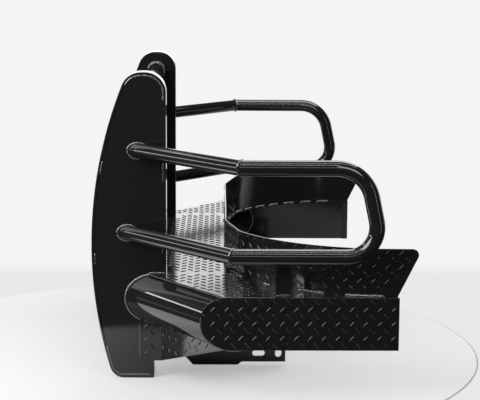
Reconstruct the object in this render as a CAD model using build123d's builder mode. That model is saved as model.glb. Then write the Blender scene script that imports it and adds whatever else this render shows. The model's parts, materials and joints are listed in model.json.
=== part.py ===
"""Welded steel front bumper with a grille guard, for a full-size pickup truck.

Two tall box uprights carry everything: a bullnose pipe swept back to tread-plate wings, a tread-plate
deck with a standing riser, a headlight loop on each side, the grille insert between the uprights and
two slotted plates that bolt to the truck's frame rails.

Frame: millimetres, +Z up, -Y forward on the truck, +X towards the truck's left side. The origin lies on
the ground, in the centre plane, half way along the overall length.
"""

import os
from math import cos, radians, sin, sqrt, tan

from build123d import *

# ---------------------------------------------------------------- overall sizes
LENGTH = 1079.0  # fullest point of the uprights to the rear corner of the risers
WING_WIDTH = 1920.0  # over the outer faces of the two wing side plates
HEIGHT = 1065.0  # ground to the top of the uprights
UPRIGHT_SPREAD = 1184.0  # over the outer faces of the two uprights

# ---------------------------------------------------------------- stock and clearances
PLATE = 4.8  # tread plate, skins and flat panels
WELD_GAP = 0.3  # root gap left where a piece lies against a round one

# ---------------------------------------------------------------- uprights
UPRIGHT_WIDE = 76.2
UPRIGHT_DEEP = 257.0  # at the fullest point of the bowed front
UPRIGHT_TOP_DEEP = 131.0  # depth that the bow leaves at the very top
BOW_HEIGHT = 462.0  # height of the fullest point
BAND = 9.5  # thickness of the edge band
SKIN_RECESS = 2.0  # skins sit this far inside the band's edges
TOP_ROUND = 70.0
FOOT_ROUND = 52.0
FOOT_SETBACK = 44.0  # rear edge of the foot, forward of the rear edge above it
FOOT_HEIGHT = 65.0
KNEE_HEIGHT = 195.0  # where the rear edge starts to lean forward to the foot

# ---------------------------------------------------------------- bullnose pipe and wings
PIPE_OD = 168.3
PIPE_WALL = 4.8
PIPE_HEIGHT = 284.0  # centre of the pipe above the ground
PIPE_REACH = 222.0  # pipe centre behind the fullest point of the uprights
SWEEP = 36.0  # angle of the wing pipe, back from straight across
WING_REAR = 60.0  # rear edge of the side plate, forward of the rear of the risers
NOSE_DROP = 68.0  # side plate's leading point below its top edge
NOSE_UPPER = 84.0  # length of the nose's upper curve
NOSE_LOWER = 99.0  # length of the nose's lower curve
NOSE_LAP = 1.0  # side plate's nose stands this far proud of the pipe's end
EDGE_BAR_WIDE = 24.0
EDGE_BAR = 6.0

# ---------------------------------------------------------------- deck and riser
DECK_LAP = 25.0  # deck's front edge, forward of the pipe's top line
RISER_HEIGHT = 157.0
RISER_FRONT = 460.0  # front of the riser behind the fullest point of the uprights
RISER_FLAT = 420.0  # half length of its straight middle
RISER_CREASE = 50.0  # radius of the two creases
RISER_FACET = 195.0  # flat stretch between the two creases
RISER_FACET_TURN = 12.0  # angle of that stretch
RISER_CREASE_TURN = 26.0  # angle after the second crease, where the long curve starts
RISER_END_TURN = 88.0  # angle of the last stretch, almost straight back
RISER_INSET = 15.0  # end of the long curve, inside the side plate
RISER_RAKE = 26.0  # lean of its rear end, from upright
RISER_CORNER = 20.0

# ---------------------------------------------------------------- headlight loops
LOOP_OD = 50.8
LOOP_OUTSET = 40.0  # centre plane of the loop, outside the outer face of the side plate
LOOP_WALL = 3.2
LOOP_TOP = 798.0  # height of the upper run's centre
LOOP_BOTTOM = 514.0  # height of the lower run's centre
LOOP_REACH = 937.0  # rearmost centre line, behind the fullest point of the uprights
LOOP_UPPER_BEND = 116.0
LOOP_LOWER_BEND = 96.0
LOOP_LEAN = 12.0  # rear leg leans back by this angle towards its foot
UPPER_MITRE = 507.0  # mitre between loop and stay, behind the fullest point of the uprights
LOWER_MITRE = 482.0
UPPER_STAY = 160.0  # stay's foot on the upright, behind the fullest point of the uprights
LOWER_STAY = 124.0

POST_WIDE = 50.0
POST = 10.0
POST_REACH = 646.0  # centre of the post behind the fullest point of the uprights
POST_INSET = 30.0  # outer face of the post, inside the outer face of the side plate
POST_BEND = 42.0  # bend of the post, below the lower run's centre

# ---------------------------------------------------------------- lower valance
VALANCE_BOTTOM = 63.0
VALANCE_START = 165.0  # front edge of the side valance, behind the fullest point of the uprights
VALANCE_BEND = 238.0
VALANCE_END = 459.0
VALANCE_INSET = 7.0  # outer end of the valance, inside the outer face of the side plate

# ---------------------------------------------------------------- grille insert
CROSS_TUBE_OD = 63.5
CROSS_TUBE_WALL = 3.2
CROSS_TUBE_DROP = 74.0  # centre of the top cross tube below the top of the uprights
GRILLE_REACH = 177.0  # plane of the cross tube and the bars, behind the fullest point
BAR_OD = 38.1
BAR_WALL = 2.6
BAR_COUNT = 5
BAR_LOWEST = 105.0  # lowest bar above the deck
SCREEN = 3.0
SCREEN_MARGIN = 16.0  # top of the screen, below the centre of the top cross tube
SCREEN_SLOT_LONG = 78.0
SCREEN_SLOT_WIDE = 20.0
SCREEN_PITCH_ACROSS = 98.0
SCREEN_PITCH_UP = 36.0

# ---------------------------------------------------------------- frame brackets
BRACKET_SPREAD = 852.0  # over the outer faces of the two frame plates
BRACKET = 9.5
BRACKET_TOE = 346.0  # front of the plate's bottom edge, behind the fullest point
BRACKET_STEP = 507.0  # step in the bottom edge
BRACKET_STEP_RUN = 15.0
BRACKET_STEP_RISE = 11.5
BRACKET_HEEL = 679.0  # rear edge
BRACKET_TOE_SLOPE = 48.0  # slope of the front edge, above level
BRACKET_TAIL = 200.0  # height of the plate's rear part
BRACKET_SHOULDER = 130.0  # length of the sloping shoulder between rear part and riser
SLOT_LONG = 45.0
SLOT_WIDE = 22.0
LEVEL_SLOT_REACH = 582.5
LEVEL_SLOT_HEIGHT = 43.0
RISE_SLOT_REACH = 653.5
RISE_SLOT_HEIGHT = 50.5
RISE_SLOT_PITCH = 100.0  # between the two upright slots

# ---------------------------------------------------------------- places worked out from the sizes
front_y = -LENGTH / 2
rear_y = LENGTH / 2
upright_face_x = UPRIGHT_SPREAD / 2
upright_back_x = upright_face_x - UPRIGHT_WIDE
outer_skin_x = upright_face_x - SKIN_RECESS
inner_skin_x = upright_back_x + SKIN_RECESS
upright_rear_y = front_y + UPRIGHT_DEEP
foot_rear_y = upright_rear_y - FOOT_SETBACK
bow_set = UPRIGHT_DEEP - UPRIGHT_TOP_DEEP
bow_radius = ((HEIGHT - BOW_HEIGHT) ** 2 + bow_set**2) / (2 * bow_set)
foot_front_y = front_y + bow_radius - sqrt(bow_radius**2 - BOW_HEIGHT**2)

wing_face_x = WING_WIDTH / 2
wing_back_x = wing_face_x - PLATE
wing_rear_y = rear_y - WING_REAR
pipe_r = PIPE_OD / 2
pipe_y = front_y + PIPE_REACH
pipe_dir = Vector(cos(radians(SWEEP)), sin(radians(SWEEP)), 0)
pipe_end_y = pipe_y + (wing_back_x - upright_face_x) * tan(radians(SWEEP))
deck_z = PIPE_HEIGHT + pipe_r + WELD_GAP
deck_top = deck_z + PLATE
wing_bottom = PIPE_HEIGHT - pipe_r - NOSE_LAP
nose_y = pipe_end_y - pipe_r / cos(radians(SWEEP)) - NOSE_LAP

riser_y = front_y + RISER_FRONT
riser_top = deck_top + RISER_HEIGHT
riser_end_x = wing_back_x - RISER_INSET
end_lean = radians(RISER_RAKE)
riser_tip_y = rear_y + RISER_CORNER * ((1 + sin(end_lean)) / cos(end_lean) - 1)

loop_x = wing_face_x + LOOP_OUTSET
loop_r = LOOP_OD / 2
grille_y = front_y + GRILLE_REACH
cross_tube_z = HEIGHT - CROSS_TUBE_DROP

os.makedirs("parts", exist_ok=True)


def save(piece, name):
    """Label a finished piece and write it as its own file."""
    piece.part.label = name
    export_step(piece.part, f"parts/{name}.step")


def save_pair(left, name):
    """Write the left-hand piece, and its mirror image for the right-hand side."""
    save(left, f"{name}_left")
    with BuildPart() as right:
        mirror(left.part, about=Plane.YZ)
    save(right, f"{name}_right")


def side_plane(x):
    """A plane facing +X at x, whose own axes run back along Y and up along Z."""
    return Plane(origin=(x, 0, 0), x_dir=(0, 1, 0), z_dir=(1, 0, 0))


def draw_ring(outer_diameter, wall):
    """The section of a tube."""
    Circle(outer_diameter / 2)
    Circle(outer_diameter / 2 - wall, mode=Mode.SUBTRACT)


def cut_beyond(plane, size):
    """Take away what lies in front of a plane, within half the size of its origin."""
    with Locations(plane):
        Box(size, size, size, align=(Align.CENTER, Align.CENTER, Align.MIN), mode=Mode.SUBTRACT)


# ================================================================ uprights
# side view of an upright: bowed front, rounded top, straight rear edge and a narrower foot
top_front = (upright_rear_y - UPRIGHT_TOP_DEEP, HEIGHT)
toe = (foot_front_y, 0)
with BuildSketch() as upright_outline:
    with BuildLine():
        ThreePointArc(toe, (front_y, BOW_HEIGHT), top_front)
        Polyline(
            top_front,
            (upright_rear_y, HEIGHT),
            (upright_rear_y, KNEE_HEIGHT),
            (foot_rear_y, FOOT_HEIGHT),
            (foot_rear_y, 0),
            toe,
        )
    make_face()
    fillet(upright_outline.vertices().group_by(Axis.Y)[-1], TOP_ROUND)
    fillet(upright_outline.vertices().group_by(Axis.Y)[0].sort_by(Axis.X)[0], FOOT_ROUND)

with BuildSketch() as skin_outline:
    add(upright_outline.sketch)
    offset(amount=-BAND)


with BuildPart() as band:
    with BuildSketch(side_plane(upright_back_x)):
        add(upright_outline.sketch)
        add(skin_outline.sketch, mode=Mode.SUBTRACT)
    extrude(amount=UPRIGHT_WIDE)
save_pair(band, "upright_edge_band")

with BuildPart() as outer_skin:
    with BuildSketch(side_plane(outer_skin_x - PLATE)):
        add(skin_outline.sketch)
    extrude(amount=PLATE)
save_pair(outer_skin, "upright_outer_skin")

with BuildPart() as inner_skin:
    with BuildSketch(side_plane(inner_skin_x)):
        add(skin_outline.sketch)
    extrude(amount=PLATE)
save_pair(inner_skin, "upright_inner_skin")


# ================================================================ grille insert
def cross_piece(y, z, outer_diameter, wall, end_x):
    """A level tube across the gap between the two uprights, from -end_x to end_x."""
    with BuildPart() as piece:
        with BuildSketch(side_plane(-end_x)):
            with Locations((y, z)):
                draw_ring(outer_diameter, wall)
        extrude(amount=2 * end_x)
    return piece


top_cross_tube = cross_piece(grille_y, cross_tube_z, CROSS_TUBE_OD, CROSS_TUBE_WALL, inner_skin_x)
save(top_cross_tube, "top_cross_tube")

lowest_bar_z = deck_top + BAR_LOWEST
bar_pitch = (cross_tube_z - lowest_bar_z) / BAR_COUNT
for number in range(BAR_COUNT):
    bar = cross_piece(grille_y, lowest_bar_z + number * bar_pitch, BAR_OD, BAR_WALL, inner_skin_x)
    save(bar, f"grille_bar_{number + 1}")

screen_top = cross_tube_z - SCREEN_MARGIN
screen_height = screen_top - deck_top
slot_rows = int((screen_height - SCREEN_PITCH_UP) // SCREEN_PITCH_UP)
slot_columns = int((2 * inner_skin_x - SCREEN_SLOT_WIDE) // SCREEN_PITCH_ACROSS)
screen_back_y = grille_y + CROSS_TUBE_OD / 2 + WELD_GAP + SCREEN
with BuildPart() as screen:
    with BuildSketch(Plane.XZ.offset(-screen_back_y)):
        with Locations((0, (screen_top + deck_top) / 2)):
            Rectangle(2 * inner_skin_x, screen_height)
            with GridLocations(SCREEN_PITCH_ACROSS, SCREEN_PITCH_UP, slot_columns, slot_rows):
                SlotOverall(SCREEN_SLOT_LONG, SCREEN_SLOT_WIDE, mode=Mode.SUBTRACT)
    extrude(amount=SCREEN)
save(screen, "grille_screen")


# ================================================================ headlight loops and their stays
def mitre_plane(corner, stay_foot):
    """The plane that shares the corner between the loop's run and its stay, facing forward."""
    towards_loop = Vector(0, 1, 0)
    towards_stay = (Vector(*stay_foot) - Vector(*corner)).normalized()
    return Plane(origin=corner, z_dir=towards_stay - towards_loop)


upper_corner = (loop_x, front_y + UPPER_MITRE, LOOP_TOP)
lower_corner = (loop_x, front_y + LOWER_MITRE, LOOP_BOTTOM)
upper_foot = (outer_skin_x, front_y + UPPER_STAY, LOOP_TOP)
lower_foot = (outer_skin_x, front_y + LOWER_STAY, LOOP_BOTTOM)

# the rear leg is the line that touches the lower bend at the lean angle
lean = radians(LOOP_LEAN)
bend_y = front_y + LOOP_REACH - LOOP_LOWER_BEND
bend_z = LOOP_BOTTOM + LOOP_LOWER_BEND
leg_top_y = bend_y + (LOOP_LOWER_BEND - (LOOP_TOP - bend_z) * sin(lean)) / cos(lean)
leg_foot_y = bend_y + LOOP_LOWER_BEND * (1 + sin(lean)) / cos(lean)

with BuildPart() as loop:
    with BuildLine(side_plane(loop_x)) as loop_path:
        FilletPolyline(
            (upper_corner[1] - LOOP_OD, LOOP_TOP),
            (leg_top_y, LOOP_TOP),
            (leg_foot_y, LOOP_BOTTOM),
            (lower_corner[1] - LOOP_OD, LOOP_BOTTOM),
            radius=(LOOP_UPPER_BEND, LOOP_LOWER_BEND),
        )
    with BuildSketch(Plane(origin=loop_path.line @ 0, z_dir=loop_path.line % 0)):
        draw_ring(LOOP_OD, LOOP_WALL)
    sweep(path=loop_path.line)
    cut_beyond(mitre_plane(upper_corner, upper_foot), 3 * LOOP_OD)
    cut_beyond(mitre_plane(lower_corner, lower_foot), 3 * LOOP_OD)
save_pair(loop, "headlight_loop")


def stay(corner, foot):
    """A straight tube from the loop's mitre, level and forward to the upright's outer skin."""
    run = Vector(*foot) - Vector(*corner)
    start = Vector(*corner) - run.normalized() * LOOP_OD
    with BuildPart() as piece:
        with BuildSketch(Plane(origin=start, z_dir=run)):
            draw_ring(LOOP_OD, LOOP_WALL)
        extrude(amount=run.length + 3 * LOOP_OD)
        cut_beyond(Plane(origin=corner, z_dir=-mitre_plane(corner, foot).z_dir), 3 * LOOP_OD)
        split(bisect_by=side_plane(outer_skin_x), keep=Keep.TOP)
    return piece


save_pair(stay(upper_corner, upper_foot), "upper_stay")
save_pair(stay(lower_corner, lower_foot), "lower_stay")

# a bent flat bar stands on the deck and turns out to meet the underside of the loop
post_x = wing_face_x - POST_INSET - POST / 2
post_y = front_y + POST_REACH
post_bend_z = LOOP_BOTTOM - POST_BEND
with BuildPart() as post:
    with BuildSketch(Plane.XZ.offset(-(post_y + POST_WIDE / 2))):
        with BuildLine():
            Polyline((post_x, deck_top), (post_x, post_bend_z), (loop_x, LOOP_BOTTOM))
            offset(amount=POST / 2, side=Side.BOTH, kind=Kind.INTERSECTION)
        make_face()
    extrude(amount=POST_WIDE)
    with Locations(Plane(origin=(loop_x, post_y, LOOP_BOTTOM), z_dir=(0, 1, 0))):
        Cylinder(loop_r + WELD_GAP, 2 * POST_WIDE, mode=Mode.SUBTRACT)
    split(bisect_by=Plane(origin=(0, 0, deck_top), z_dir=(0, 0, 1)), keep=Keep.TOP)
    split(bisect_by=side_plane(loop_x), keep=Keep.BOTTOM)
save_pair(post, "loop_post")

# ================================================================ bullnose pipe and wings
# the pipe is wider than the uprights are deep there, so it ends at their edges, not at their skins
save(cross_piece(pipe_y, PIPE_HEIGHT, PIPE_OD, PIPE_WALL, upright_back_x), "centre_pipe")

wing_run = (wing_back_x - upright_face_x) / cos(radians(SWEEP))
pipe_foot = Vector(upright_face_x, pipe_y, PIPE_HEIGHT)
with BuildPart() as wing_pipe:
    with BuildSketch(Plane(origin=pipe_foot - pipe_dir * PIPE_OD, z_dir=pipe_dir)):
        draw_ring(PIPE_OD, PIPE_WALL)
    extrude(amount=wing_run + 2 * PIPE_OD)
    split(bisect_by=side_plane(upright_face_x), keep=Keep.TOP)
    split(bisect_by=side_plane(wing_back_x), keep=Keep.BOTTOM)
save_pair(wing_pipe, "wing_pipe")

nose_z = deck_top - NOSE_DROP
with BuildPart() as side_plate:
    with BuildSketch(side_plane(wing_back_x)):
        with BuildLine():
            upper_start = nose_y + NOSE_UPPER
            lower_start = nose_y + NOSE_LOWER
            nose_depth = nose_z - wing_bottom
            EllipticalCenterArc((upper_start, nose_z), NOSE_UPPER, NOSE_DROP, 90, arc_size=90)
            EllipticalCenterArc((lower_start, nose_z), NOSE_LOWER, nose_depth, 180, arc_size=90)
            Polyline(
                (lower_start, wing_bottom),
                (wing_rear_y, wing_bottom),
                (wing_rear_y, deck_top),
                (upper_start, deck_top),
            )
        make_face()
    extrude(amount=PLATE)
save_pair(side_plate, "wing_side_plate")

with BuildPart() as edge_bar:
    with BuildSketch(side_plane(wing_back_x - EDGE_BAR)):
        with Locations((wing_rear_y, (deck_z + wing_bottom) / 2)):
            Rectangle(EDGE_BAR_WIDE, deck_z - wing_bottom, align=(Align.MAX, Align.CENTER))
    extrude(amount=EDGE_BAR)
save_pair(edge_bar, "wing_edge_bar")

# ================================================================ riser and deck
facet_turn = radians(RISER_FACET_TURN)
crease_turn = radians(RISER_CREASE_TURN)
end_turn = radians(RISER_END_TURN)
curve_x = RISER_FLAT + RISER_CREASE * sin(crease_turn) + RISER_FACET * cos(facet_turn)
curve_radius = (riser_end_x - curve_x) / (sin(end_turn) - sin(crease_turn))
crease_step = RISER_CREASE_TURN - RISER_FACET_TURN
curve_step = RISER_END_TURN - RISER_CREASE_TURN


def riser_line(inset, last_run):
    """Draw the riser's plan, inset from its front face: crease, facet, crease, long curve, last run."""
    tight = RISER_CREASE - inset
    first = JernArc((RISER_FLAT, riser_y + inset), (1, 0), tight, RISER_FACET_TURN)
    facet = Line(first @ 1, first @ 1 + (first % 1) * RISER_FACET)
    second = JernArc(facet @ 1, facet % 1, tight, crease_step)
    curve = JernArc(second @ 1, second % 1, curve_radius - inset, curve_step)
    return Line(curve @ 1, curve @ 1 + (curve % 1) * last_run)


# plan of the side riser, from its first crease to past its rear end
curve_end_y = riser_y + RISER_CREASE * (1 - cos(crease_turn)) + RISER_FACET * sin(facet_turn)
curve_end_y += curve_radius * (cos(crease_turn) - cos(end_turn))
with BuildSketch() as riser_plan:
    with BuildLine():
        riser_line(0, (riser_tip_y + PLATE - curve_end_y) / sin(end_turn))
        offset(amount=PLATE, side=Side.LEFT)
    make_face()


# plan of everything behind the riser's rear face
with BuildSketch() as behind_riser:
    with BuildLine():
        last = riser_line(PLATE, LENGTH)
        Polyline(last @ 1, (RISER_FLAT, (last @ 1).Y), (RISER_FLAT, riser_y + PLATE))
    make_face()

with BuildPart() as riser_centre:
    with BuildSketch(Plane.XY.offset(deck_top)):
        with Locations((0, riser_y)):
            Rectangle(2 * RISER_FLAT, PLATE, align=(Align.CENTER, Align.MIN))
    extrude(amount=RISER_HEIGHT)
save(riser_centre, "riser_centre")

riser_base_y = riser_tip_y - RISER_HEIGHT * tan(end_lean)
with BuildPart() as riser_side:
    with BuildSketch(Plane.XY.offset(deck_top)):
        add(riser_plan.sketch)
    extrude(amount=RISER_HEIGHT)
    with BuildSketch(side_plane(RISER_FLAT - PLATE)):
        with BuildLine():
            Polyline(
                (riser_y - PLATE, deck_top),
                (riser_base_y, deck_top),
                (riser_tip_y, riser_top),
                (riser_y - PLATE, riser_top),
                close=True,
            )
        profile = make_face()
        fillet(profile.vertices().sort_by(Axis.X)[-1], RISER_CORNER)
    extrude(amount=wing_face_x, mode=Mode.INTERSECT)
save_pair(riser_side, "riser_side")

deck_front_y = pipe_y - DECK_LAP
with BuildPart() as deck_centre:
    with BuildSketch(Plane.XY.offset(deck_z)):
        with Locations((0, deck_front_y)):
            Rectangle(2 * upright_face_x, riser_y + PLATE - deck_front_y, align=(Align.CENTER, Align.MIN))
        for side in (-1, 1):
            with Locations((side * upright_face_x, deck_front_y)):
                end = Align.MAX if side > 0 else Align.MIN
                notch_length = upright_rear_y - deck_front_y
                Rectangle(UPRIGHT_WIDE, notch_length, align=(end, Align.MIN), mode=Mode.SUBTRACT)
    extrude(amount=PLATE)
    with BuildSketch(Plane.XY.offset(deck_z)):
        add(riser_plan.sketch)
        mirror(about=Plane.YZ)
    extrude(amount=PLATE)
    split(bisect_by=side_plane(upright_face_x), keep=Keep.BOTTOM)
    split(bisect_by=side_plane(-upright_face_x), keep=Keep.TOP)
save(deck_centre, "deck_centre")

# each deck wing fills the plan from the bullnose pipe to the riser, inside the side plate
pipe_slope = tan(radians(SWEEP))
wing_front_y = pipe_y - DECK_LAP / cos(radians(SWEEP))
wing_corner_y = wing_front_y + (wing_back_x - upright_face_x) * pipe_slope
with BuildPart() as deck_wing:
    with BuildSketch(Plane.XY.offset(deck_z)):
        with BuildLine():
            Polyline(
                (upright_face_x, wing_front_y),
                (wing_back_x, wing_corner_y),
                (wing_back_x, wing_rear_y),
                (upright_face_x, wing_rear_y),
                close=True,
            )
        make_face()
        add(behind_riser.sketch, mode=Mode.SUBTRACT)
    extrude(amount=PLATE)
save_pair(deck_wing, "deck_wing")

# ================================================================ lower valance
valance_top = PIPE_HEIGHT
with BuildPart() as valance_centre:
    with BuildSketch(side_plane(-upright_back_x)):
        with Locations((pipe_y, VALANCE_BOTTOM)):
            Rectangle(PLATE, valance_top - VALANCE_BOTTOM, align=(Align.CENTER, Align.MIN))
        with Locations((pipe_y, PIPE_HEIGHT)):
            Circle(pipe_r + WELD_GAP, mode=Mode.SUBTRACT)
    extrude(amount=2 * upright_back_x)
save(valance_centre, "valance_centre")

valance_x = upright_face_x + PLATE
valance_bend = Vector(valance_x, front_y + VALANCE_BEND)
valance_tip = Vector(wing_face_x - VALANCE_INSET, front_y + VALANCE_END)
valance_run = valance_tip - valance_bend
with BuildPart() as valance_side:
    with BuildSketch(Plane.XY.offset(VALANCE_BOTTOM)):
        with BuildLine():
            Polyline((valance_x, front_y + VALANCE_START), valance_bend, valance_tip)
            offset(amount=PLATE, side=Side.LEFT, kind=Kind.INTERSECTION)
        make_face()
    extrude(amount=valance_top - VALANCE_BOTTOM)
    with Locations(Plane(origin=pipe_foot, z_dir=pipe_dir)):
        Cylinder(pipe_r + WELD_GAP, 4 * wing_run, mode=Mode.SUBTRACT)
    # the swept panel's lower edge climbs to the bottom of the side plate at its outer end
    panel_foot = (valance_bend.X, valance_bend.Y, VALANCE_BOTTOM)
    facing = (valance_run.Y, -valance_run.X, 0)
    with BuildSketch(Plane(origin=panel_foot, x_dir=valance_run, z_dir=facing)):
        with BuildLine():
            rise = wing_bottom - VALANCE_BOTTOM
            Polyline((0, 0), (valance_run.length, 0), (valance_run.length, rise), close=True)
        make_face()
    extrude(amount=4 * PLATE, both=True, mode=Mode.SUBTRACT)
    split(bisect_by=side_plane(wing_back_x), keep=Keep.BOTTOM)
save_pair(valance_side, "valance_side")

# ================================================================ frame brackets
bracket_face_x = BRACKET_SPREAD / 2
toe_y = front_y + BRACKET_TOE
step_y = front_y + BRACKET_STEP
heel_y = front_y + BRACKET_HEEL
valance_back_y = pipe_y + PLATE / 2
toe_rise = (toe_y - valance_back_y) * tan(radians(BRACKET_TOE_SLOPE))
riser_back_y = riser_y + PLATE
with BuildPart() as bracket:
    with BuildSketch(side_plane(bracket_face_x - BRACKET)):
        with BuildLine():
            Polyline(
                (toe_y, 0),
                (step_y, 0),
                (step_y + BRACKET_STEP_RUN, BRACKET_STEP_RISE),
                (heel_y, BRACKET_STEP_RISE),
                (heel_y, BRACKET_TAIL),
                (riser_back_y + BRACKET_SHOULDER, BRACKET_TAIL),
                (riser_back_y, deck_z),
                (valance_back_y, deck_z),
                (valance_back_y, toe_rise),
                close=True,
            )
        make_face()
        with Locations((pipe_y, PIPE_HEIGHT)):
            Circle(pipe_r + WELD_GAP, mode=Mode.SUBTRACT)
        with Locations((front_y + LEVEL_SLOT_REACH, LEVEL_SLOT_HEIGHT)):
            SlotOverall(SLOT_LONG, SLOT_WIDE, mode=Mode.SUBTRACT)
        with Locations((front_y + RISE_SLOT_REACH, RISE_SLOT_HEIGHT + RISE_SLOT_PITCH / 2)):
            with GridLocations(0, RISE_SLOT_PITCH, 1, 2):
                SlotOverall(SLOT_LONG, SLOT_WIDE, rotation=90, mode=Mode.SUBTRACT)
    extrude(amount=BRACKET)
save_pair(bracket, "frame_bracket")
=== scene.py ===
# %% [markdown]
# A front grille guard stands on its own uprights: a welded steel truck bumper, coated gloss black.
# The CAD model gives every plate and tube its true place. Blender adds what welding, rolling and
# coating leave on the real one: raised lugs on the tread plate, rippled weld beads in the joints,
# soft edges under the coat, and a coat that is glossy but never quite flat.

# %% Load the frame and keep its size
import json

import bpy
import numpy as np
from mathutils import Matrix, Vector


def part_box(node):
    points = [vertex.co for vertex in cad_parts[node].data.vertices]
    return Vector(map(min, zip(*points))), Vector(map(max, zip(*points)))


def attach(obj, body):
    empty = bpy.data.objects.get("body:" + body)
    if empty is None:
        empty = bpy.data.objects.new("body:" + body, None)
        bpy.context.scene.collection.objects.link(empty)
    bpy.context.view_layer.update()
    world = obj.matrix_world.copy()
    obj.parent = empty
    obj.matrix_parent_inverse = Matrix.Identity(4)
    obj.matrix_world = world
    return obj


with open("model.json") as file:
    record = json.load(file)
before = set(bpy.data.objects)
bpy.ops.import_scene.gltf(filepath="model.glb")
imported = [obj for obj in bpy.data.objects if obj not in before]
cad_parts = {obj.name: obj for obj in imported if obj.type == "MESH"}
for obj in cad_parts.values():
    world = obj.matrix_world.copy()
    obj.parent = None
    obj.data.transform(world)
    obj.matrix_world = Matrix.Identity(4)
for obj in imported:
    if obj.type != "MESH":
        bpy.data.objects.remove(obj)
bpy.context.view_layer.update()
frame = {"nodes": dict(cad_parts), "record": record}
nodes = frame["nodes"]

# %% [markdown]
# The camera looks across the bumper from the truck's left side, a little from above. A long lens from
# five and a half metres keeps the near and the far side almost the same size. The view is set by
# three turns, because they are easier to read than a matrix: yaw about the upright axis, pitch
# down, and a slight roll of the camera on its stand.

# %% Camera
CAMERA_PLACE = (5.4545, -0.1025, 1.434)
CAMERA_YAW, CAMERA_PITCH, CAMERA_ROLL = 0.01499, 0.16392, 0.00608
LENS, SENSOR = 108.01, 36.0  # millimetres


def camera_axes(yaw, pitch, roll):
    """Columns right, up and back of a camera that looks along -X at rest, turned by yaw, tipped down
    by pitch and rolled about its line of sight."""
    ahead = np.array([-np.cos(pitch) * np.cos(yaw), np.cos(pitch) * np.sin(yaw), -np.sin(pitch)])
    level = np.array([np.sin(yaw), np.cos(yaw), 0.0])
    above = np.cross(level, ahead)
    right = np.cos(roll) * level + np.sin(roll) * above
    up = -np.sin(roll) * level + np.cos(roll) * above
    return np.column_stack([right, up, -ahead])


camera = bpy.data.objects.new("camera", bpy.data.cameras.new("camera"))
bpy.context.scene.collection.objects.link(camera)
camera.data.sensor_width = SENSOR
camera.data.lens = LENS
turn = Matrix(camera_axes(CAMERA_YAW, CAMERA_PITCH, CAMERA_ROLL).tolist()).to_4x4()
camera.matrix_world = Matrix.Translation(CAMERA_PLACE) @ turn
bpy.context.scene.camera = camera
print("camera at", CAMERA_PLACE, "lens", LENS)

# %% [markdown]
# Every added shape below is worked out with arrays: points, and the faces between them. These two
# helpers do the part that repeats, so that each piece only says its formula.


# %% Mesh helpers
def grid_quads(rows, columns, closed_rows=False, closed_columns=False):
    """Corner numbers of the quads of a rows x columns grid. A closed direction also joins its last
    line to its first."""
    r = np.arange(rows if closed_rows else rows - 1)[:, None]
    c = np.arange(columns if closed_columns else columns - 1)[None, :]
    r_next, c_next = (r + 1) % rows, (c + 1) % columns
    corners = (r * columns + c, r * columns + c_next, r_next * columns + c_next, r_next * columns + c)
    return np.stack([np.broadcast_to(x, (r.size, c.size)) for x in corners], -1).reshape(-1, 4)


def make_piece(name, points, faces, material):
    """A smooth mesh object from an array of points and a list of faces. It rides on the one body."""
    mesh = bpy.data.meshes.new(name)
    mesh.from_pydata(np.asarray(points, float).tolist(), [], [tuple(f) for f in faces])
    mesh.polygons.foreach_set("use_smooth", [True] * len(mesh.polygons))
    mesh.materials.append(material)
    mesh.update()
    piece = bpy.data.objects.new(name, mesh)
    bpy.context.scene.collection.objects.link(piece)
    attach(piece, "root")


# %% [markdown]
# Powder coat is a plastic skin baked on steel. It is as glossy as wet paint, but it flows out
# unevenly and keeps a faint orange peel of bumps a few millimetres across. Both effects below are
# needed by every finish, so each is a node group with its own inputs, and each material
# chooses how much of it to take. A group gives back only heights, masks and numbers.


# %% Node group: orange peel
def new_group(name, inputs, outputs):
    """An empty shader node group with named number inputs (name, value) and number outputs."""
    group = bpy.data.node_groups.new(name, "ShaderNodeTree")
    number = "NodeSocketFloat"
    for label, value in inputs:
        socket = group.interface.new_socket(label, in_out="INPUT", socket_type=number)
        socket.default_value = value
    for label in outputs:
        group.interface.new_socket(label, in_out="OUTPUT", socket_type=number)
    return group, group.nodes.new("NodeGroupInput"), group.nodes.new("NodeGroupOutput")


def add_node(tree, kind, **settings):
    """A node with its settings and, under numbers or names of sockets, its plain input values."""
    node = tree.nodes.new(kind)
    for key, value in settings.pop("values", {}).items():
        node.inputs[key].default_value = value
    for key, value in settings.items():
        setattr(node, key, value)
    return node


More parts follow.
